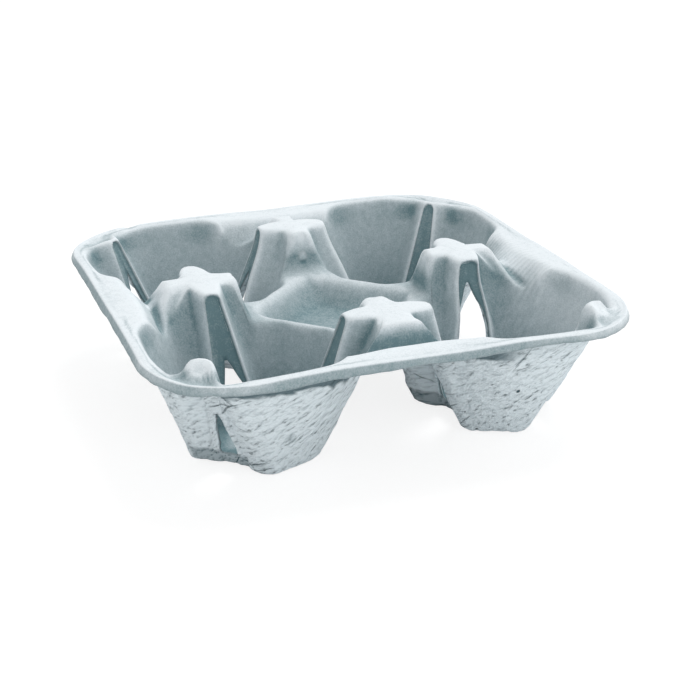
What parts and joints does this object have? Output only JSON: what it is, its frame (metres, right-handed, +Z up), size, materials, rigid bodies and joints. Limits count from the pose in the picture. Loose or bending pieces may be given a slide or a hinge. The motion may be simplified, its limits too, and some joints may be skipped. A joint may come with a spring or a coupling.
{
  "type": "cardboard cup carrier",
  "caption": "Square moulded-pulp tray that carries drink cups in drawn wells, with star-topped towers between them and a bowl in the middle.",
  "frame": {"origin": "middle of the footprint, on the table that the feet rest on", "axes": "+Z up from the feet to the rim; X and Y each run through two towers, square to the sides"},
  "size_m": [0.2192, 0.2192, 0.0599],
  "materials": {
    "pulp": "dull moulded paper pulp, smoother above than below"
  },
  "bodies": {
    "root": {"cup_carrier": "pulp"}
  },
  "joints": []
}
